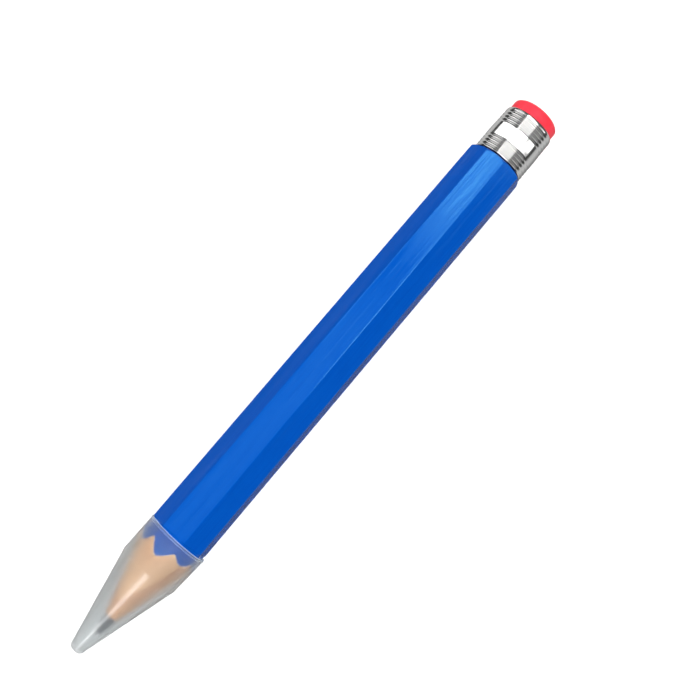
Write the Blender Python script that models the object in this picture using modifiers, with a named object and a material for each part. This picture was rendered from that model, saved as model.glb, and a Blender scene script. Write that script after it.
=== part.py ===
"""Giant wooden pencil with a push-on point cap.

An octagonal lacquered barrel made of two glued, grooved casing halves, a
graphite core running its whole length, a turned tenon that carries a ribbed
aluminium ferrule with an eraser plugged into it, and a thin translucent cap
pushed over the sharpened point.

Frame: metres, +Z up. The pencil lies along X on one of its flats, point
towards -X. The origin is on the surface it lies on, under the middle of its
length. Lengths below called a station are measured along the axis from the
tip of the cap towards the eraser.
"""
import math

import bmesh
import bpy
from mathutils import Matrix

MM = 0.001

# ---- driving dimensions (mm) ------------------------------------------------
LENGTH = 350.0              # cap tip to eraser end
CAP_LIP_R = 16.72           # largest radius, what the front of the pencil lies on

# Barrel: distance of each flat from the axis at the front and at the back.
# The flats are planed by hand-fed cutters, so the octagon is a little uneven.
# Order: +Y flat, then every 45 degrees round towards +Z.
FLAT_FRONT = (15.4, 14.85, 14.5, 15.35, 15.1, 15.0, 15.0, 15.0)
FLAT_BACK = (15.0, 14.60, 15.6, 15.00, 14.4, 15.0, 15.0, 15.0)
FLAT_FRONT_AT = 66.0        # stations at which those two sets hold
FLAT_BACK_AT = 316.0
EDGE_ROUND = 0.8            # width taken off each side of a barrel edge

LEAD_R = 3.5
LEAD_TIP = 13.1             # station of the worn graphite tip
LEAD_TIP_R = 1.6
LEAD_SHOULDER = 23.2        # where the graphite leaves the wood
GROOVE_R = 3.8              # groove in the casing halves
GLUE_GAP = 0.2              # between the two casing halves

CONE_MID = (60.3, 14.5)     # station and radius on the sharpened cone
SEAT_START = 66.45          # the edges are eased to SEAT_R where the cap sits
SEAT_END = 72.9
SEAT_R = 15.8
SEAT_EASE = 0.15            # the flats are this much lower under the cap
SHOULDER_START = 310.5
SHOULDER_END = 316.3
SHOULDER_R = 14.55
TENON_R = 13.0
TENON_END = 332.0

FERRULE_START = 316.9
FERRULE_END = 343.3
FERRULE_BORE_R = 13.3
FERRULE_R = (14.27, 13.95)  # crest radius at the barrel and at the eraser
RIB_PITCH = 2.05
RIB_DEPTH = 0.26
RIB_BANDS = ((317.5, 4), (333.2, 4))   # start station, number of grooves

ERASER_START = 332.6
ERASER_R = 13.0
ERASER_ROUND_START = 347.2
ERASER_FLAT_R = 7.4

CAP_WALL = 0.48
CAP_TIP_R = 3.9             # radius where the blunt tip meets the cone
CAP_TIP_AT = 2.8
CAP_KINK = (52.0, 16.15)
CAP_SLEEVE = (64.0, 16.66)
CAP_RIM = 72.3
CAP_LIP = 1.35              # width of the thickened lip
CAP_PIVOT = 69.0            # the cap sits a little askew about this station
CAP_YAW = math.radians(-2.45)

TURN_STEPS = 48

# ---- scene ------------------------------------------------------------------
for ob in list(bpy.data.objects):
    bpy.data.objects.remove(ob, do_unlink=True)

parts = bpy.data.collections.new("giant_pencil")
cutters = bpy.data.collections.new("cutters")
bpy.context.scene.collection.children.link(parts)
bpy.context.scene.collection.children.link(cutters)


def material(name, colour, roughness, metallic=0.0, transmission=0.0):
    mat = bpy.data.materials.new(name)
    mat.use_nodes = True
    bsdf = next(n for n in mat.node_tree.nodes if n.type == "BSDF_PRINCIPLED")
    bsdf.inputs["Base Color"].default_value = (*colour, 1.0)
    bsdf.inputs["Roughness"].default_value = roughness
    bsdf.inputs["Metallic"].default_value = metallic
    bsdf.inputs["Transmission Weight"].default_value = transmission
    mat.diffuse_color = (*colour, 1.0)
    return mat


LACQUER = material("blue_lacquer", (0.0, 0.114, 0.61), 0.25)
GRAPHITE = material("graphite", (0.08, 0.085, 0.09), 0.45)
ALUMINIUM = material("aluminium", (0.78, 0.78, 0.76), 0.2, metallic=1.0)
RUBBER = material("red_rubber", (0.9, 0.05, 0.08), 0.6)
FROSTED = material("frosted_plastic", (0.75, 0.76, 0.75), 0.35, transmission=0.7)


def empty(name, station, yaw=0.0):
    ob = bpy.data.objects.new(name, None)
    ob.empty_display_size = 0.02
    ob.location = ((station - LENGTH / 2) * MM, 0.0, CAP_LIP_R * MM)
    ob.rotation_euler = (0.0, 0.0, yaw)
    bpy.context.scene.collection.objects.link(ob)
    return ob


# The barrel's empty is on the axis at station 0, the cap's at its pivot.
barrel_axis = empty("barrel_axis", 0.0)
cap_axis = empty("cap_axis", CAP_PIVOT, CAP_YAW)


def add(name, mesh, mat, parent, cutter=False):
    ob = bpy.data.objects.new(name, mesh)
    (cutters if cutter else parts).objects.link(ob)
    ob.parent = parent
    if cutter:
        ob.hide_render = True
        ob.display_type = "WIRE"
    else:
        mesh.materials.append(mat)
    return ob


def turned(name, profile, mat, parent, origin=0.0, cutter=False,
           steps=TURN_STEPS, closed=False):
    """Turn a profile of (station, radius) about X.

    It runs from the eraser end towards the point on its outer side."""
    mesh = bpy.data.meshes.new(name)
    pts = [((s - origin) * MM, 0.0, r * MM) for s, r in profile]
    edges = [(i, i + 1) for i in range(len(pts) - 1)]
    if closed:
        edges.append((len(pts) - 1, 0))
    mesh.from_pydata(pts, edges, [])
    ob = add(name, mesh, mat, parent, cutter)
    screw = ob.modifiers.new("turn", "SCREW")
    screw.axis = "X"
    screw.angle = 2 * math.pi
    screw.steps = steps
    screw.render_steps = steps
    screw.use_merge_vertices = True
    screw.merge_threshold = 0.00001
    screw.use_smooth_shade = True
    return ob


def boolean(ob, cutter, operation):
    mod = ob.modifiers.new(cutter.name, "BOOLEAN")
    mod.operation = operation
    mod.solver = "EXACT"
    mod.object = cutter


# ---- barrel -----------------------------------------------------------------
def octagon(station, lower=0.0):
    """Corners of the octagon there, from where its neighbouring flats meet."""
    k = (station - FLAT_FRONT_AT) / (FLAT_BACK_AT - FLAT_FRONT_AT)
    flats = [a + k * (b - a) - lower for a, b in zip(FLAT_FRONT, FLAT_BACK)]
    out = []
    for i in range(8):
        a0, a1 = math.radians(45 * i), math.radians(45 * (i + 1))
        d0, d1 = flats[i], flats[(i + 1) % 8]
        det = math.cos(a0) * math.sin(a1) - math.cos(a1) * math.sin(a0)
        y = (d0 * math.sin(a1) - d1 * math.sin(a0)) / det
        z = (d1 * math.cos(a0) - d0 * math.cos(a1)) / det
        out.append((station * MM, y * MM, z * MM))
    return out


def octagonal_bar(name):
    mesh = bpy.data.meshes.new(name)
    bm = bmesh.new()
    sections = ((16.0, SEAT_EASE), (SEAT_END, SEAT_EASE), (SEAT_END + 0.5, 0.0), (336.0, 0.0))
    rings = [[bm.verts.new(p) for p in octagon(*section)] for section in sections]
    bm.faces.new(rings[0])
    bm.faces.new(list(reversed(rings[-1])))
    for front, back in zip(rings, rings[1:]):
        for i in range(8):
            j = (i + 1) % 8
            bm.faces.new((front[i], back[i], back[j], front[j]))
    bmesh.ops.recalc_face_normals(bm, faces=bm.faces)
    bm.to_mesh(mesh)
    bm.free()
    return mesh


def cone_radius(s):
    """Sharpened cone: straight to CONE_MID, then easing into the barrel."""
    slope = (CONE_MID[1] - LEAD_R) / (CONE_MID[0] - LEAD_SHOULDER)
    if s <= CONE_MID[0]:
        return LEAD_R + slope * (s - LEAD_SHOULDER)
    run = SEAT_START - CONE_MID[0]
    u = (s - CONE_MID[0]) / run
    rise = SEAT_R - CONE_MID[1]
    return CONE_MID[1] + slope * run * u + (rise - slope * run) * u * u


envelope_profile = [(TENON_END, 0.0), (TENON_END, TENON_R - 0.5), (TENON_END - 0.5, TENON_R),
                    (SHOULDER_END, TENON_R), (SHOULDER_END, SHOULDER_R)]
for i in range(1, 7):
    a = i / 7 * math.pi / 2
    envelope_profile.append((SHOULDER_START + (SHOULDER_END - SHOULDER_START) * math.cos(a),
                             SHOULDER_R + (17.4 - SHOULDER_R) * math.sin(a)))
envelope_profile += [(SHOULDER_START, 17.4), (SEAT_END + 0.7, 17.4),
                     (SEAT_END, SEAT_R), (SEAT_START, SEAT_R)]
for i in range(1, 5):
    s = SEAT_START - i / 4 * (SEAT_START - CONE_MID[0])
    envelope_profile.append((s, cone_radius(s)))
envelope_profile += [(19.5, cone_radius(19.5)), (19.5, 0.0)]

envelope = turned("turning_envelope", envelope_profile, None, barrel_axis, cutter=True)
groove = turned("lead_groove", [(340.0, 0.0), (340.0, GROOVE_R), (14.0, GROOVE_R), (14.0, 0.0)],
                None, barrel_axis, cutter=True, steps=32)


def half_space(name, side):
    """A block that takes away everything beyond the glue line on one side."""
    mesh = bpy.data.meshes.new(name)
    bm = bmesh.new()
    bmesh.ops.create_cube(bm, size=1.0)
    bmesh.ops.scale(bm, vec=(0.36, 0.05, 0.03), verts=bm.verts)
    bmesh.ops.translate(bm, vec=(LENGTH / 2 * MM, 0.0, side * (0.015 + GLUE_GAP / 2 * MM) - side * GLUE_GAP * MM),
                        verts=bm.verts)
    bm.to_mesh(mesh)
    bm.free()
    return add(name, mesh, None, barrel_axis, cutter=True)


below = half_space("below_glue_line", -1)
above = half_space("above_glue_line", 1)

for name, other in (("upper_casing_half", below), ("lower_casing_half", above)):
    casing = add(name, octagonal_bar(name), LACQUER, barrel_axis)
    edge = casing.modifiers.new("eased_edges", "BEVEL")
    edge.width = EDGE_ROUND * MM
    edge.segments = 2
    edge.limit_method = "ANGLE"
    edge.angle_limit = math.radians(30)
    boolean(casing, envelope, "INTERSECT")
    boolean(casing, groove, "DIFFERENCE")
    boolean(casing, other, "DIFFERENCE")

# ---- graphite core ----------------------------------------------------------
turned("lead_core",
       [(TENON_END - 0.3, 0.0), (TENON_END - 0.3, LEAD_R), (LEAD_SHOULDER, LEAD_R),
        (LEAD_TIP + 0.45, LEAD_TIP_R), (LEAD_TIP, LEAD_TIP_R * 0.6), (LEAD_TIP, 0.0)],
       GRAPHITE, barrel_axis, steps=32)


# ---- ferrule ----------------------------------------------------------------
def crest(s):
    u = (s - FERRULE_START) / (FERRULE_END - FERRULE_START)
    return FERRULE_R[0] + u * (FERRULE_R[1] - FERRULE_R[0])


outer = [(FERRULE_START, FERRULE_BORE_R + 0.35), (FERRULE_START + 0.35, crest(FERRULE_START))]
for start, count in RIB_BANDS:
    for i in range(count * 4 + 1):
        s = start + i * RIB_PITCH / 4
        outer.append((s, crest(s) - RIB_DEPTH * (0.5 - 0.5 * math.cos(i * math.pi / 2))))
# The open end is curled in over the eraser.
outer += [(FERRULE_END - 0.7, crest(FERRULE_END) - 0.12), (FERRULE_END - 0.2, crest(FERRULE_END) - 0.35),
          (FERRULE_END, FERRULE_BORE_R + 0.05)]
inner = [(FERRULE_END, FERRULE_BORE_R), (FERRULE_START, FERRULE_BORE_R)]
turned("ferrule", list(reversed(outer)) + list(reversed(inner)), ALUMINIUM, barrel_axis, closed=True)

# ---- eraser -----------------------------------------------------------------
eraser_profile = [(LENGTH, 0.0)]
for i in range(0, 9):
    a = math.pi / 2 * (1 - i / 8)
    eraser_profile.append((ERASER_ROUND_START + (LENGTH - ERASER_ROUND_START) * math.sin(a),
                           ERASER_FLAT_R + (ERASER_R - ERASER_FLAT_R) * math.cos(a)))
eraser_profile += [(ERASER_START + 0.6, ERASER_R), (ERASER_START, ERASER_R - 0.6), (ERASER_START, 0.0)]
turned("eraser", eraser_profile, RUBBER, barrel_axis)


# ---- point cap --------------------------------------------------------------
def cap_outside():
    """Outer profile from the rim to the tip."""
    pts = [(CAP_RIM, CAP_LIP_R - 0.1), (CAP_RIM - 0.15, CAP_LIP_R), (CAP_RIM - CAP_LIP + 0.15, CAP_LIP_R),
           (CAP_RIM - CAP_LIP, CAP_SLEEVE[1]), CAP_SLEEVE, (58.0, 16.42),
           (CAP_KINK[0] + 1.2, CAP_KINK[1] + 0.02), (CAP_KINK[0] - 0.6, CAP_KINK[1] - 0.2)]
    slope = (CAP_KINK[1] - CAP_TIP_R) / (CAP_KINK[0] - CAP_TIP_AT)
    pts += [(28.0, CAP_TIP_R + slope * (28.0 - CAP_TIP_AT)), (CAP_TIP_AT, CAP_TIP_R)]
    for i in range(1, 6):
        a = math.pi / 2 * i / 6
        pts.append((CAP_TIP_AT * (1 - math.sin(a)), 1.1 + (CAP_TIP_R - 1.1) * math.cos(a)))
    pts += [(0.0, 1.1), (0.0, 0.0)]
    return pts


def cap_inside():
    """Inner profile from the tip to the rim, one wall inside the outer one."""
    w = CAP_WALL
    slope = (CAP_KINK[1] - CAP_TIP_R) / (CAP_KINK[0] - CAP_TIP_AT)
    pts = [(w * 2, 0.0), (w * 2, 1.0), (1.6, 2.2), (2.6, 3.1), (3.8, CAP_TIP_R + slope * (3.8 - CAP_TIP_AT) - w)]
    pts += [(28.0, CAP_TIP_R + slope * (28.0 - CAP_TIP_AT) - w), (CAP_KINK[0], CAP_KINK[1] - w),
            (58.0, 16.42 - w), (CAP_SLEEVE[0], CAP_SLEEVE[1] - w), (CAP_RIM, CAP_SLEEVE[1] - w)]
    return pts


turned("point_cap", cap_inside() + cap_outside(), FROSTED, cap_axis, origin=CAP_PIVOT)
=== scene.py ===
"""Looks of the giant pencil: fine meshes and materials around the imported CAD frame."""
import math

import bmesh
import bpy
import numpy as np
from mathutils import Matrix, Vector

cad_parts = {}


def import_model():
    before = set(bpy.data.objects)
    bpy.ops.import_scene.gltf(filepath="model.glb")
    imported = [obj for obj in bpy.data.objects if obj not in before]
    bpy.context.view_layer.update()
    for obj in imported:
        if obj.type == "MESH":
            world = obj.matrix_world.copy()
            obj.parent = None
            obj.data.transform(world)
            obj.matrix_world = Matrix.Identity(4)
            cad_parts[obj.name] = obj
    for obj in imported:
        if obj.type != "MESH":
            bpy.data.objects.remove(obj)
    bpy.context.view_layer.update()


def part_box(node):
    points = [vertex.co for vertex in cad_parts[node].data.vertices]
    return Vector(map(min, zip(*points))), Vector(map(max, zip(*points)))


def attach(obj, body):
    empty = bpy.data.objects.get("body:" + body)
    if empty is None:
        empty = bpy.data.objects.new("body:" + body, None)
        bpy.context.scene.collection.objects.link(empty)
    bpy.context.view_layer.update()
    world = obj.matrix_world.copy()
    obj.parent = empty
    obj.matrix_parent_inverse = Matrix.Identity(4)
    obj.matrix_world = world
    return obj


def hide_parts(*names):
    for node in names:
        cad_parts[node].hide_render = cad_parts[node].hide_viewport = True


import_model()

MM = 0.001

scene = bpy.context.scene
scene.view_settings.view_transform = "Standard"
scene.view_settings.look = "None"

# ---- where things are -------------------------------------------------------
# Stations run along +X from the cap's tip, as in the CAD source.
eraser_lo, eraser_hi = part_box("eraser")
cap_lo, cap_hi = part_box("point_cap")
LENGTH = 350.0
X0 = eraser_hi.x / MM - LENGTH          # world x of station 0, in mm
AXIS_Z = (cap_lo.z + cap_hi.z) / 2 / MM

FLAT_FRONT = (15.4, 14.85, 14.5, 15.35, 15.1, 15.0, 15.0, 15.0)
FLAT_BACK = (15.0, 14.60, 15.6, 15.00, 14.4, 15.0, 15.0, 15.0)
FLAT_FRONT_AT, FLAT_BACK_AT = 66.0, 316.0
SEAT_END, SEAT_EASE, SEAT_START, SEAT_R = 72.9, 0.15, 66.45, 15.8
LEAD_R, LEAD_SHOULDER, LEAD_TIP = 3.5, 23.2, 13.1
CONE_MID = (60.3, 14.5)
SHOULDER = (310.5, 316.3, 14.55)
TENON_R, TENON_END = 13.0, 332.0
FERRULE = (316.9, 343.3, 13.3)
CAP_PIVOT, CAP_YAW = 69.0, math.radians(-2.45)


def world(s, y=0.0, z=0.0):
    return Vector(((X0 + s) * MM, y * MM, (AXIS_Z + z) * MM))


# ---- node helpers -----------------------------------------------------------
class Nodes:
    """A small builder for one material's node tree."""

    def __init__(self, name):
        self.mat = bpy.data.materials.new(name)
        self.mat.use_nodes = True
        self.tree = self.mat.node_tree
        self.tree.nodes.clear()
        self.out = self.tree.nodes.new("ShaderNodeOutputMaterial")

    def add(self, kind, **values):
        node = self.tree.nodes.new(kind)
        for key, value in values.items():
            if hasattr(node, key):
                setattr(node, key, value)
            else:
                node.inputs[key.replace("_", " ")].default_value = value
        return node

    def link(self, a, b):
        self.tree.links.new(a, b)

    def coords(self, scale=(1, 1, 1), location=(0, 0, 0), rotation=(0, 0, 0)):
        tc = self.add("ShaderNodeTexCoord")
        mp = self.add("ShaderNodeMapping")
        mp.inputs["Scale"].default_value = scale
        mp.inputs["Location"].default_value = location
        mp.inputs["Rotation"].default_value = rotation
        self.link(tc.outputs["Object"], mp.inputs["Vector"])
        return mp.outputs["Vector"]

    def noise(self, vector, scale, detail=3.0, rough=0.5, distortion=0.0):
        n = self.add("ShaderNodeTexNoise")
        n.inputs["Scale"].default_value = scale
        n.inputs["Detail"].default_value = detail
        n.inputs["Roughness"].default_value = rough
        n.inputs["Distortion"].default_value = distortion
        self.link(vector, n.inputs["Vector"])
        return n.outputs["Fac"]

    def ramp(self, fac, stops):
        r = self.add("ShaderNodeValToRGB")
        els = r.color_ramp.elements
        while len(els) < len(stops):
            els.new(0.5)
        for el, (pos, col) in zip(els, stops):
            el.position = pos
            el.color = (*col, 1.0) if len(col) == 3 else col
        self.link(fac, r.inputs["Fac"])
        return r.outputs["Color"]

    def span(self, fac, lo, hi, a=0.0, b=1.0):
        m = self.add("ShaderNodeMapRange")
        m.inputs["From Min"].default_value = lo
        m.inputs["From Max"].default_value = hi
        m.inputs["To Min"].default_value = a
        m.inputs["To Max"].default_value = b
        self.link(fac, m.inputs["Value"])
        return m.outputs["Result"]

    def math(self, op, a, b=None, c=None):
        m = self.add("ShaderNodeMath")
        m.operation = op
        for i, v in enumerate((a, b, c)):
            if v is None:
                continue
            if isinstance(v, (int, float)):
                m.inputs[i].default_value = v
            else:
                self.link(v, m.inputs[i])
        return m.outputs[0]

    def mix(self, fac, a, b, blend="MIX"):
        m = self.add("ShaderNodeMix")
        m.data_type = "RGBA"
        m.blend_type = blend
        if isinstance(fac, (int, float)):
            m.inputs["Factor"].default_value = fac
        else:
            self.link(fac, m.inputs["Factor"])
        for name, v in (("A", a), ("B", b)):
            sock = next(s for s in m.inputs if s.name == name and s.type == "RGBA")
            if isinstance(v, tuple):
                sock.default_value = (*v, 1.0)
            else:
                self.link(v, sock)
        return next(s for s in m.outputs if s.type == "RGBA")

    def bump(self, height, strength, distance, normal=None):
        b = self.add("ShaderNodeBump")
        b.inputs["Strength"].default_value = strength
        b.inputs["Distance"].default_value = distance
        self.link(height, b.inputs["Height"])
        if normal is not None:
            self.link(normal, b.inputs["Normal"])
        return b.outputs["Normal"]

    def principled(self, **values):
        p = self.add("ShaderNodeBsdfPrincipled")
        for key, value in values.items():
            sock = p.inputs[key.replace("_", " ")]
            if isinstance(value, bpy.types.NodeSocket):
                self.link(value, sock)
            else:
                sock.default_value = value
        self.link(p.outputs["BSDF"], self.out.inputs["Surface"])
        return p


# ---- materials --------------------------------------------------------------
def lacquer():
    n = Nodes("blue_lacquer")
    long_grain = n.noise(n.coords((14, 260, 260)), 4.0, 4.0, 0.6)
    pores = n.noise(n.coords((60, 900, 900)), 3.0, 2.0, 0.5)
    broad = n.noise(n.coords((9, 60, 60), (0.3, 0.1, 0.2)), 1.6, 2.0, 0.5)
    tint = n.span(long_grain, 0.3, 0.7, 0.0, 1.0)
    colour = n.mix(tint, (0.0, 0.073, 0.445), (0.0, 0.084, 0.48))
    # painted light: the lacquer is paler where the cap covers it, fading out just inside the rim, standing in for the
    # milky light the frosted cap spreads over it
    tc = n.add("ShaderNodeTexCoord")
    sep = n.add("ShaderNodeSeparateXYZ")
    n.link(tc.outputs["Object"], sep.inputs["Vector"])
    colour = n.mix(n.span(sep.outputs["X"], cap_hi.x - 0.014, cap_hi.x - 0.001, 1.0, 0.0), colour, (0.0, 0.120, 0.51))
    rough = n.span(broad, 0.3, 0.7, 0.07, 0.12)
    drag = n.noise(n.coords((5, 1300, 1300), (0.2, 0.4, 0.1)), 1.3, 2.0, 0.5)
    lines = n.span(drag, 0.60, 0.74)
    nrm = n.bump(broad, 0.5, 0.0006)
    nrm = n.bump(long_grain, 0.35, 0.00014, nrm)
    nrm = n.bump(lines, 0.45, 0.00010, nrm)
    nrm = n.bump(pores, 0.15, 0.00005, nrm)
    n.principled(Base_Color=colour, Roughness=rough, Normal=nrm, Specular_IOR_Level=0.8,
                 Specular_Tint=(0.20, 0.74, 1.0, 1.0))
    return n.mat


def wood():
    n = Nodes("sharpened_wood")
    fibre = n.noise(n.coords((40, 700, 700)), 2.2, 5.0, 0.62, 0.4)
    wander = n.noise(n.coords((22, 120, 120), (0.1, 0.0, 0.3)), 1.7, 3.0, 0.55, 0.6)
    flecks = n.noise(n.coords((160, 1500, 1500)), 1.5, 2.0, 0.5)
    # growth layers: flat sheets along the grain, a little tilted and wandering
    tc = n.add("ShaderNodeTexCoord")
    sep = n.add("ShaderNodeSeparateXYZ")
    n.link(tc.outputs["Object"], sep.inputs["Vector"])
    up = n.math("SUBTRACT", sep.outputs["Z"], AXIS_Z * MM)
    layer = n.math("ADD", n.math("MULTIPLY", sep.outputs["Y"], 0.252), n.math("MULTIPLY", up, 0.968))
    layer = n.math("ADD", layer, n.span(wander, 0.3, 0.7, -0.0005, 0.0005))
    light, mid, dark, late = (0.90, 0.55, 0.31), (0.82, 0.45, 0.23), (0.72, 0.38, 0.21), (0.56, 0.26, 0.12)
    stops = [(-16.0, mid), (-11.4, dark), (-11.2, late), (-10.8, light), (-5.0, mid), (-2.4, dark), (-2.2, late),
             (-1.8, light), (1.6, mid), (5.6, dark), (6.2, late), (6.6, light), (11.0, light), (14.0, mid), (16.0, mid)]
    base = n.ramp(n.span(layer, -0.016, 0.016), [((at + 16.0) / 32.0, c) for at, c in stops])
    streak = n.span(fibre, 0.35, 0.7, 0.0, 1.0)
    base = n.mix(n.math("MULTIPLY", streak, 0.28), base, (0.64, 0.28, 0.12))
    dots = n.span(flecks, 0.62, 0.72, 0.0, 0.3)
    base = n.mix(dots, base, (0.42, 0.18, 0.07))
    base = n.mix(0.13, base, (0.92, 0.78, 0.66))
    # the glue line between the two casing halves
    seam = n.span(n.math("ABSOLUTE", up), 0.00006, 0.00014, 0.75, 0.0)
    base = n.mix(seam, base, (0.25, 0.11, 0.05))
    nrm = n.bump(fibre, 0.4, 0.00012)
    n.principled(Base_Color=base, Roughness=0.62, Normal=nrm, Specular_IOR_Level=0.3)
    return n.mat


def primer():
    n = Nodes("white_undercoat")
    grain = n.noise(n.coords((200, 900, 900)), 3.0, 3.0)
    colour = n.mix(n.span(grain, 0.3, 0.7), (0.72, 0.70, 0.66), (0.86, 0.85, 0.82))
    n.principled(Base_Color=colour, Roughness=0.6)
    return n.mat


def graphite():
    n = Nodes("graphite_core")
    streak = n.noise(n.coords((90, 1200, 1200)), 2.0, 4.0, 0.6)
    specks = n.noise(n.coords((900, 900, 900)), 2.0, 2.0, 0.5)
    colour = n.mix(n.span(streak, 0.3, 0.7), (0.125, 0.136, 0.150), (0.240, 0.256, 0.276))
    rough = n.span(specks, 0.3, 0.7, 0.3, 0.5)
    nrm = n.bump(streak, 0.3, 0.00008)
    n.principled(Base_Color=colour, Roughness=rough, Metallic=0.2, Normal=nrm)
    return n.mat


def aluminium():
    n = Nodes("rolled_aluminium")
    turned = n.noise(n.coords((2600, 60, 60)), 1.0, 3.0, 0.6)
    smudge = n.noise(n.coords((70, 70, 70)), 2.0, 3.0, 0.5)
    rough = n.math("ADD", n.span(turned, 0.3, 0.7, 0.10, 0.17), n.span(smudge, 0.4, 0.7, 0.0, 0.06))
    colour = n.mix(n.span(smudge, 0.3, 0.7), (0.89, 0.89, 0.88), (0.95, 0.95, 0.94))
    nrm = n.bump(turned, 0.12, 0.00003)
    nrm = n.bump(smudge, 0.2, 0.0002, nrm)
    n.principled(Base_Color=colour, Metallic=1.0, Roughness=rough, Normal=nrm)
    return n.mat


def rubber():
    n = Nodes("eraser_rubber")
    fine = n.noise(n.coords((1, 1, 1)), 1800.0, 3.0, 0.6)
    soft = n.noise(n.coords((1, 1, 1)), 160.0, 3.0, 0.5)
    colour = n.mix(n.span(soft, 0.3, 0.7), (0.86, 0.026, 0.050), (0.94, 0.044, 0.072))
    nrm = n.bump(fine, 0.3, 0.00006)
    nrm = n.bump(soft, 0.25, 0.0002, nrm)
    n.principled(Base_Color=colour, Roughness=0.6, Normal=nrm, Specular_IOR_Level=0.35,
                 Subsurface_Weight=0.12, Subsurface_Scale=0.002)
    return n.mat


def frosted():
    n = Nodes("frosted_plastic")
    cloud = n.noise(n.coords((60, 90, 90)), 1.6, 3.0, 0.5)
    fine = n.noise(n.coords((1, 1, 1)), 1500.0, 2.0, 0.5)
    rough = n.span(cloud, 0.3, 0.7, 0.36, 0.44)
    colour = n.mix(n.span(cloud, 0.3, 0.7), (0.72, 0.745, 0.75), (0.77, 0.795, 0.80))
    nrm = n.bump(cloud, 0.15, 0.0003)
    nrm = n.bump(fine, 0.10, 0.00002, nrm)
    p = n.principled(Base_Color=colour, Roughness=rough, Normal=nrm, IOR=1.45, Transmission_Weight=0.97,
                     Coat_Weight=0.4, Coat_Roughness=0.16)
    clear = n.add("ShaderNodeBsdfTransparent")
    clear.inputs["Color"].default_value = (0.86, 0.86, 0.86, 1)
    path = n.add("ShaderNodeLightPath")
    both = n.add("ShaderNodeMixShader")
    n.link(path.outputs["Is Shadow Ray"], both.inputs[0])
    n.link(p.outputs["BSDF"], both.inputs[1])
    n.link(clear.outputs["BSDF"], both.inputs[2])
    n.link(both.outputs[0], n.out.inputs["Surface"])
    return n.mat


def lip_milk_and_painted_highlight():
    n = Nodes("frosted_lip_edge")
    cloud = n.noise(n.coords((300, 300, 300)), 2.0, 3.0, 0.5)
    # painted highlight: light blue along the lip's rounded corners, on top of the milk of the thicker plastic there
    colour = n.mix(n.span(cloud, 0.3, 0.7), (0.66, 0.80, 0.95), (0.74, 0.88, 1.0))
    nrm = n.bump(cloud, 0.1, 0.0001)
    n.principled(Base_Color=colour, Roughness=n.span(cloud, 0.3, 0.7, 0.35, 0.45), Normal=nrm, Alpha=0.5)
    return n.mat


def end_pool_and_painted_shade():
    n = Nodes("end_pooled_paint_and_painted_shade")
    grain = n.noise(n.coords((60, 500, 500)), 3.0, 3.0)
    # painted shade: near-black navy for the gap before the ferrule, standing for pooled paint and the shade in that gap
    colour = n.mix(n.span(grain, 0.3, 0.7), (0.002, 0.006, 0.03), (0.003, 0.012, 0.05))
    n.principled(Base_Color=colour, Roughness=0.7, Specular_IOR_Level=0.2)
    return n.mat


END_POOL_AND_PAINTED_SHADE = end_pool_and_painted_shade()
LACQUER, WOOD, PRIMER = lacquer(), wood(), primer()
GRAPHITE, ALUMINIUM, RUBBER, FROSTED = graphite(), aluminium(), rubber(), frosted()
LIP_MILK_AND_PAINTED_HIGHLIGHT = lip_milk_and_painted_highlight()


# ---- mesh helpers -----------------------------------------------------------
def link(name, mesh):
    ob = bpy.data.objects.new(name, mesh)
    scene.collection.objects.link(ob)
    return ob


def turn_mesh(name, profile, steps, closed=False, phase=0.0):
    """A profile of (station, radius) turned about the pencil's axis, in world metres."""
    mesh = bpy.data.meshes.new(name)
    bm = bmesh.new()
    rings = []
    for s, r in profile:
        if r < 1e-6:
            rings.append([bm.verts.new(world(s))])
        else:
            rings.append([bm.verts.new(world(s, r * math.cos(phase + 2 * math.pi * k / steps),
                                             r * math.sin(phase + 2 * math.pi * k / steps)))
                          for k in range(steps)])
    pairs = list(zip(rings, rings[1:]))
    if closed:
        pairs.append((rings[-1], rings[0]))
    for a, b in pairs:
        for k in range(steps):
            j = (k + 1) % steps
            if len(a) == 1 and len(b) == 1:
                continue
            if len(a) == 1:
                bm.faces.new((a[0], b[j], b[k]))
            elif len(b) == 1:
                bm.faces.new((a[k], a[j], b[0]))
            else:
                bm.faces.new((a[k], a[j], b[j], b[k]))
    bmesh.ops.recalc_face_normals(bm, faces=bm.faces)
    bm.to_mesh(mesh)
    bm.free()
    return mesh


def smooth(mesh, degrees=30.0):
    mesh.shade_smooth()
    mesh.set_sharp_from_angle(angle=math.radians(degrees))


# ---- lacquered casing -------------------------------------------------------
EDGE = 1.0                               # radius of the octagon's edges
PALE = 0.2                               # width of the bared undercoat at the paint's edge
# Where the paint ends on each flat, and on the edge after it.
LOBE = (64.3, 62.0, 60.5, 63.7, 64.0, 63.9, 64.4, 64.1)
NOTCH = (66.3, 66.8, 66.6, 66.9, 66.6, 66.4, 66.7, 66.5)
LOBE_AT = (0.05, 0.0, -0.1, 0.05, 0.0, 0.1, -0.05, 0.0)
ACROSS, ROUND = 18, 6


def flats_at(s, lower=0.0):
    k = (s - FLAT_FRONT_AT) / (FLAT_BACK_AT - FLAT_FRONT_AT)
    return [a + k * (b - a) - lower for a, b in zip(FLAT_FRONT, FLAT_BACK)]


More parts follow.
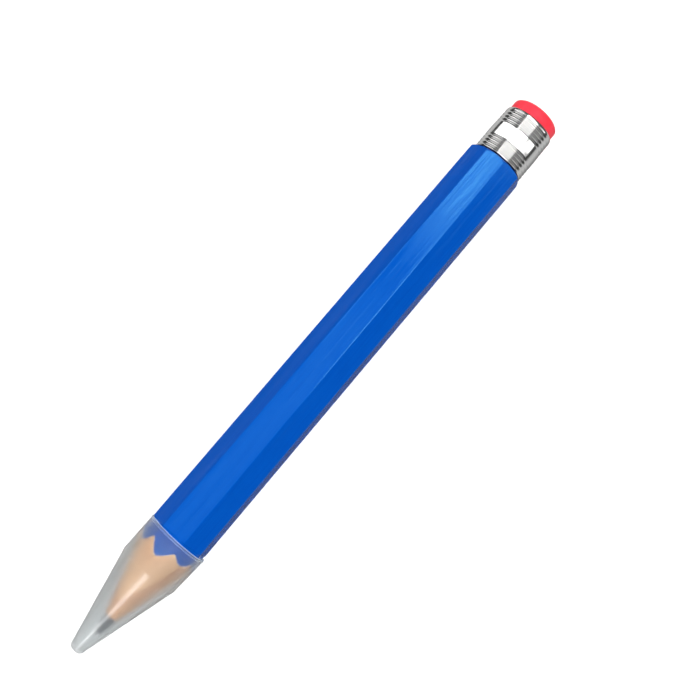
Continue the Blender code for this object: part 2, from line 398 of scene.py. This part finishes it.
def outline(s):
    """The octagon with rounded edges at one station, as (y, z) points in mm."""
    lower = SEAT_EASE * min(1.0, max(0.0, (SEAT_END + 0.5 - s) / 0.5))
    flats = flats_at(s, lower)
    centres = []
    for i in range(8):
        a0, a1 = math.radians(45 * i), math.radians(45 * (i + 1))
        d0, d1 = flats[i], flats[(i + 1) % 8]
        det = math.sin(a1 - a0)
        y = (d0 * math.sin(a1) - d1 * math.sin(a0)) / det
        z = (d1 * math.cos(a0) - d0 * math.cos(a1)) / det
        mid, inward = math.radians(45 * i + 22.5), EDGE / math.cos(math.radians(22.5))
        centres.append((y - inward * math.cos(mid), z - inward * math.sin(mid)))
    points = []
    for i in range(8):
        n = (math.cos(math.radians(45 * i)) * EDGE, math.sin(math.radians(45 * i)) * EDGE)
        c0, c1 = centres[i - 1], centres[i]
        for k in range(1, ACROSS):
            u = k / ACROSS
            points.append((c0[0] + u * (c1[0] - c0[0]) + n[0], c0[1] + u * (c1[1] - c0[1]) + n[1]))
        for k in range(ROUND + 1):
            a = math.radians(45 * (i + k / ROUND))
            points.append((c1[0] + EDGE * math.cos(a), c1[1] + EDGE * math.sin(a)))
    return points


def paint_edge(rng):
    """Station of the paint's edge for each point of the outline."""
    ends = []
    for i in range(8):
        for k in range(1, ACROSS):
            v = -1 + 2 * k / ACROSS
            near = NOTCH[i] if v > LOBE_AT[i] else NOTCH[i - 1]
            u = abs(v - LOBE_AT[i]) / (1 - LOBE_AT[i] if v > LOBE_AT[i] else 1 + LOBE_AT[i])
            e = 0.3
            f = (math.sqrt(u * u + e * e) - e) / (math.sqrt(1 + e * e) - e)
            ends.append(LOBE[i] + (near - LOBE[i]) * f + rng.normal(0, 0.035))
        ends += [NOTCH[i]] * (ROUND + 1)
    return ends


def cone_radius(s):
    slope = (CONE_MID[1] - LEAD_R) / (CONE_MID[0] - LEAD_SHOULDER)
    if s <= CONE_MID[0]:
        return LEAD_R + slope * (s - LEAD_SHOULDER)
    run = SEAT_START - CONE_MID[0]
    u = (s - CONE_MID[0]) / run
    return CONE_MID[1] + slope * run * u + (SEAT_R - CONE_MID[1] - slope * run) * u * u


def turned_radius(s):
    """What turning leaves: cone, cap seat, barrel."""
    if s < SEAT_START:
        return cone_radius(s)
    if s < SEAT_END:
        return SEAT_R
    return SEAT_R + (17.4 - SEAT_R) * min(1.0, (s - SEAT_END) / 0.7)


def make_casing():
    rng = np.random.default_rng(7)
    ends = paint_edge(rng)
    count = len(ends)
    start, shoulder_end = LEAD_SHOULDER + 0.25, SHOULDER[1] - 0.15
    rows, row_mats = [], []               # each row: a (station, radius limit) for every column

    def same(s, r):
        rows.append([(s, r)] * count)

    for k in range(37):
        g = 1 - (1 - k / 36) ** 1.4
        rows.append([(start + (e - PALE - start) * g, None) for e in ends])
        row_mats.append(1)
    for k in range(19):
        rows.append([(e + (72.6 - e) * k / 18, None) for e in ends])
        row_mats.append(0)
    row_mats[36] = 2
    for s in (72.9, 73.15, 73.4, 73.7):
        same(s, None)
        row_mats.append(0)
    for k in range(1, 25):
        same(73.7 + (SHOULDER[0] - 73.7) * k / 24, None)
        row_mats.append(0)
    for k in range(1, 17):
        a = k / 16 * math.pi / 2
        same(SHOULDER[0] + (shoulder_end - SHOULDER[0]) * math.sin(a), SHOULDER[2] + (17.4 - SHOULDER[2]) * math.cos(a))
        row_mats.append(0)
    # the shoulder's last ring and the tenon take the near-black end: pooled paint plus painted shade in the gap before
    # the ferrule
    row_mats[-1] = 3
    for s, r in ((shoulder_end, TENON_R + 0.02), (324.0, TENON_R), (TENON_END, TENON_R)):
        same(s, r)
        row_mats.append(3)
    row_mats[-1] = 1
    for s, r in ((TENON_END, LEAD_R + 0.04), (178.0, LEAD_R + 0.04), (start, LEAD_R + 0.04)):
        same(s, r)
        row_mats.append(1)

    cache = {}
    mesh = bpy.data.meshes.new("lacquered_casing")
    bm = bmesh.new()
    grid = []
    for row in rows:
        ring = []
        for j, (s, limit) in enumerate(row):
            key = round(s, 4)
            if key not in cache:
                cache[key] = outline(s)
            y, z = cache[key][j]
            r = math.hypot(y, z)
            cap_r = turned_radius(s) if limit is None else limit
            k = min(1.0, cap_r / r)
            ring.append(bm.verts.new(world(s, y * k, z * k)))
        grid.append(ring)
    grid.append(grid[0])
    for i in range(len(grid) - 1):
        for j in range(count):
            n = (j + 1) % count
            f = bm.faces.new((grid[i][j], grid[i][n], grid[i + 1][n], grid[i + 1][j]))
            f.material_index = row_mats[i]
    bmesh.ops.recalc_face_normals(bm, faces=bm.faces)
    bm.to_mesh(mesh)
    bm.free()
    for m in (LACQUER, WOOD, PRIMER, END_POOL_AND_PAINTED_SHADE):
        mesh.materials.append(m)
    smooth(mesh, 32)
    ob = link("lacquered_casing", mesh)
    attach(ob, "pencil")
    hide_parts("upper_casing_half", "lower_casing_half")
    return ob


casing = make_casing()

# ---- graphite ---------------------------------------------------------------
TIP_R = 1.6                              # the worn tip is blunt
prof = [(TENON_END - 0.3, 0.0), (TENON_END - 0.3, LEAD_R), (LEAD_SHOULDER + 0.15, LEAD_R)]
run = LEAD_SHOULDER + 0.15 - (LEAD_TIP + 0.5)
for i in range(1, 13):
    u = i / 12
    prof.append((LEAD_SHOULDER + 0.15 - u * run, LEAD_R - u * (LEAD_R - TIP_R)))
for i in range(1, 8):
    a = math.pi / 2 * i / 8
    prof.append((LEAD_TIP + 0.5 * (1 - math.sin(a)), TIP_R * math.cos(a) ** 0.8))
prof.append((LEAD_TIP, 0.0))
lead = link("graphite_lead", turn_mesh("graphite_lead", prof, 96))
smooth(lead.data, 25)
lead.data.materials.append(GRAPHITE)
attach(lead, "pencil")
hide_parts("lead_core")

# ---- ferrule ----------------------------------------------------------------
F0, F1, BORE = FERRULE


def crest(s):
    u = (s - F0) / (F1 - F0)
    return 14.27 + u * (13.95 - 14.27)


bands = ((317.5, 4), (333.2, 4))
PITCH, DEPTH = 2.05, 0.26


def ferrule_outside(s):
    for start, count in bands:
        if start <= s <= start + count * PITCH:
            u = ((s - start) / PITCH) % 1.0
            # broad rounded ribs with narrower rolled grooves between them
            g = 0.5 - 0.5 * math.cos(2 * math.pi * u)
            return crest(s) - DEPTH * g ** 1.25
    # the plain band between is very slightly crowned
    a, b = bands[0][0] + bands[0][1] * PITCH, bands[1][0]
    if a < s < b:
        u = (s - a) / (b - a)
        return crest(s) + 0.05 * math.sin(math.pi * u)
    return crest(s)


prof = [(F0, BORE + 0.25), (F0 + 0.04, BORE + 0.5), (F0 + 0.14, crest(F0) - 0.22), (F0 + 0.32, crest(F0) - 0.06)]
s = F0 + 0.55
while s < F1 - 1.88:
    prof.append((s, ferrule_outside(s)))
    s += 0.092
for i in range(15):                      # the end is rolled in over the eraser
    a = math.pi / 2 * i / 14
    prof.append((F1 - 1.85 + 1.85 * math.sin(a), BORE + 0.04 + (crest(F1) - BORE - 0.04) * math.cos(a) ** 0.9))
inner = [(F1 - 0.3, BORE), (F0 + 0.3, BORE), (F0 + 0.05, BORE + 0.08)]
ferrule = link("ribbed_ferrule", turn_mesh("ribbed_ferrule", prof + inner, 192, closed=True))
smooth(ferrule.data, 50)
ferrule.data.materials.append(ALUMINIUM)
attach(ferrule, "pencil")
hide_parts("ferrule")

# ---- eraser -----------------------------------------------------------------
prof = [(LENGTH + 0.7, 0.0)]
for i in range(0, 29):
    a = math.pi / 2 * (1 - i / 28)
    prof.append((347.6 + 3.1 * math.sin(a), 7.4 + 5.6 * math.cos(a)))
prof += [(345.5, 13.02), (344.2, 13.03), (343.5, 13.0), (340.0, 13.0), (333.0, 13.0), (332.6, 12.5), (332.6, 0.0)]
prof = [(s, min(r, 13.0)) for s, r in prof]
rubber_ob = link("eraser_plug", turn_mesh("eraser_plug", prof, 160))
smooth(rubber_ob.data, 40)
rubber_ob.data.materials.append(RUBBER)
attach(rubber_ob, "pencil")
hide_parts("eraser")


# ---- point cap --------------------------------------------------------------
def cap_profile():
    wall = 0.46
    rim, lip = 72.3, 1.35
    sleeve = 16.66
    k0, k1 = (2.8, 3.9), (52.0, 16.15)
    slope = (k1[1] - k0[1]) / (k1[0] - k0[0])
    bead = 16.715
    out = [(rim - 0.03, bead - 0.42), (rim, bead - 0.30), (rim - 0.02, bead - 0.17), (rim - 0.09, bead - 0.07),
           (rim - 0.2, bead - 0.01), (rim - 0.35, bead), (rim - lip + 0.45, bead), (rim - lip + 0.28, bead - 0.02),
           (rim - lip + 0.15, bead - 0.09), (rim - lip + 0.05, bead - 0.17), (rim - lip - 0.10, bead - 0.205),
           (rim - lip - 0.25, bead - 0.21)]
    sleeve = 16.545
    # the sleeve narrows a little towards the kink, which is softly rounded
    for i in range(1, 13):
        u = i / 12
        s = (rim - lip - 0.25) + u * (53.4 - (rim - lip - 0.25))
        out.append((s, sleeve - 0.04 - 0.385 * u ** 1.5))
    turn = 2.2
    for i in range(1, 9):
        u = i / 8
        s = 53.4 - u * (53.4 - (52.0 - turn))
        cone = k0[1] + slope * (s - k0[0])
        flat = sleeve - 0.425
        w = u * u * (3 - 2 * u)
        out.append((s, flat * (1 - w) + min(cone, flat + 0.2) * w))
    s = 52.0 - turn
    while s > 5.0:
        s -= 2.5
        out.append((max(s, 4.0), k0[1] + slope * (max(s, 4.0) - k0[0])))
    out += [(3.2, k0[1] + slope * 0.35)]
    for i in range(1, 13):
        a = math.pi / 2 * i / 12
        out.append((2.8 * (1 - math.sin(a)), 1.1 + (3.9 - 1.1) * math.cos(a)))
    out += [(0.02, 0.6), (0.0, 0.0)]
    inn = [(0.95, 0.0), (0.96, 0.9), (1.25, 1.7), (1.9, 2.6), (2.9, 3.3)]
    s = 4.5
    while s < 50.5:
        inn.append((s, k0[1] + slope * (s - k0[0]) - wall * 1.03))
        s += 2.5
    inn += [(52.0, k1[1] - wall - 0.05), (53.5, sleeve - 0.44 - wall), (58.0, sleeve - 0.32 - wall)]
    inn += [(62.0, sleeve - 0.22 - wall), (66.0, sleeve - 0.08 - wall), (70.5, sleeve - 0.03 - wall), (rim - 0.25, sleeve - wall), (rim - 0.08, sleeve - wall + 0.05)]
    return inn + out


cap = link("frosted_cap", turn_mesh("frosted_cap", cap_profile(), 160))
smooth(cap.data, 35)
cap.data.materials.append(FROSTED)
cap.data.materials.append(LIP_MILK_AND_PAINTED_HIGHLIGHT)
for p in cap.data.polygons:
    # the two rounded corners of the lip get the light-blue paint: milky thick plastic plus a painted highlight along
    # each corner
    s = p.center.x / MM - X0
    r = math.hypot(p.center.y / MM, p.center.z / MM - AXIS_Z)
    if r > 16.45 and (s > 72.02 or 70.82 < s < 71.1):
        p.material_index = 1
pivot = world(CAP_PIVOT)
cap.data.transform(Matrix.Translation(pivot) @ Matrix.Rotation(CAP_YAW, 4, "Z") @ Matrix.Translation(-pivot))
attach(cap, "cap")
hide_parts("point_cap")

# ---- stage, light and camera ------------------------------------------------
floor_mesh = bpy.data.meshes.new("floor")
bm = bmesh.new()
bmesh.ops.create_grid(bm, x_segments=4, y_segments=4, size=1.6)
bm.to_mesh(floor_mesh)
bm.free()
floor = link("floor", floor_mesh)
fl = Nodes("floor_paper")
tone = fl.noise(fl.coords((1, 1, 1)), 3.0, 2.0)
fl.principled(Base_Color=fl.mix(fl.span(tone, 0.3, 0.7), (0.94, 0.94, 0.94), (0.96, 0.96, 0.96)), Roughness=0.9,
              Specular_IOR_Level=0.1)
floor_mesh.materials.append(fl.mat)
floor.visible_glossy = False


def panel(name, at, size, power, turn=0.0, mirrored=True):
    """A soft rectangular panel facing straight down; turn is about Z, in degrees."""
    data = bpy.data.lights.new(name, "AREA")
    data.shape = "RECTANGLE"
    data.size, data.size_y = size
    data.energy = power
    ob = bpy.data.objects.new(name, data)
    scene.collection.objects.link(ob)
    ob.location = at
    ob.rotation_euler = (0, 0, math.radians(turn))
    ob.visible_glossy = mirrored
    ob.visible_transmission = False
    return ob


panel("panel_eraser_end", (0.665, -0.46, 1.3), (0.92, 1.38), 8.6, -14)
panel("panel_eraser_end_far", (0.87, 0.30, 1.3), (0.92, 0.14), 2.7, -8)
panel("panel_point_end", (-1.12, -0.42, 1.3), (0.55, 0.50), 9)
panel("panel_middle", (-0.16, 0.30, 1.3), (0.80, 0.22), 0.25, -6)
over = panel("panel_overhead", (0.0, 0.12, 1.7), (0.6, 0.5), 23, 0, False)
over.data.use_shadow = False


def card(name, at, tilt, size, radiance):
    """A reflector that shows in glossy surfaces and lights nothing."""
    ob = panel(name, at, size, radiance * math.pi * size[0] * size[1])
    ob.rotation_euler = (math.radians(tilt), 0, 0)
    ob.visible_diffuse = False
    return ob


card("card_far", (0.2, 1.25, 1.00), -90, (2.6, 1.4), 0.37)
card("card_far_low", (0.54, 1.0, 0.34), -90, (0.22, 0.64), 1.5)
card("card_far_high", (0.62, 0.80, 0.98), -45, (0.25, 0.90), 1.5)
card("card_near", (0.655, -1.15, 0.62), 90, (0.24, 1.18), 1.8)
card("card_over", (0.22, -0.50, 1.32), 0, (0.24, 1.0), 3.4)

world_data = bpy.data.worlds.new("studio")
scene.world = world_data
world_data.use_nodes = True
wt = world_data.node_tree
wt.nodes.clear()
bg = wt.nodes.new("ShaderNodeBackground")
bg.inputs["Strength"].default_value = 1.0
wc = wt.nodes.new("ShaderNodeTexCoord")
ws = wt.nodes.new("ShaderNodeSeparateXYZ")
wt.links.new(wc.outputs["Generated"], ws.inputs["Vector"])
wm = wt.nodes.new("ShaderNodeMapRange")
wm.inputs["From Min"].default_value = -1.0
wt.links.new(ws.outputs["Z"], wm.inputs["Value"])
wr = wt.nodes.new("ShaderNodeValToRGB")
els = wr.color_ramp.elements
while len(els) < 7:
    els.new(0.5)
for el, (pos, grey) in zip(els, ((0.0, 0.14), (0.2, 0.52), (0.33, 0.50), (0.37, 0.06), (0.5, 0.05), (0.6, 0.08), (1.0, 0.09))):
    el.position = pos
    el.color = (grey, grey, grey, 1)
wt.links.new(wm.outputs["Result"], wr.inputs["Fac"])
wt.links.new(wr.outputs["Color"], bg.inputs["Color"])
backdrop = wt.nodes.new("ShaderNodeBackground")     # a white paper sweep behind the floor
backdrop.inputs["Strength"].default_value = 1.15
path = wt.nodes.new("ShaderNodeLightPath")
both = wt.nodes.new("ShaderNodeMixShader")
wo = wt.nodes.new("ShaderNodeOutputWorld")
wt.links.new(path.outputs["Is Camera Ray"], both.inputs[0])
wt.links.new(bg.outputs[0], both.inputs[1])
wt.links.new(backdrop.outputs[0], both.inputs[2])
wt.links.new(both.outputs[0], wo.inputs["Surface"])

cam_data = bpy.data.cameras.new("camera")
cam_data.sensor_width = 36.0
cam_data.lens = 61.28
cam_data.clip_start = 0.01
cam = bpy.data.objects.new("camera", cam_data)
scene.collection.objects.link(cam)
right = Vector((0.64327382, -0.76127258, -0.0816263))
down = Vector((-0.75773173, -0.61772422, -0.21037924))
fwd = Vector((0.10973341, 0.1971823, -0.9742062))
rot = Matrix((right, -down, -fwd)).transposed().to_4x4()
cam.matrix_world = Matrix.Translation(world(131.225, -121.075, 575.222)) @ rot
scene.camera = cam
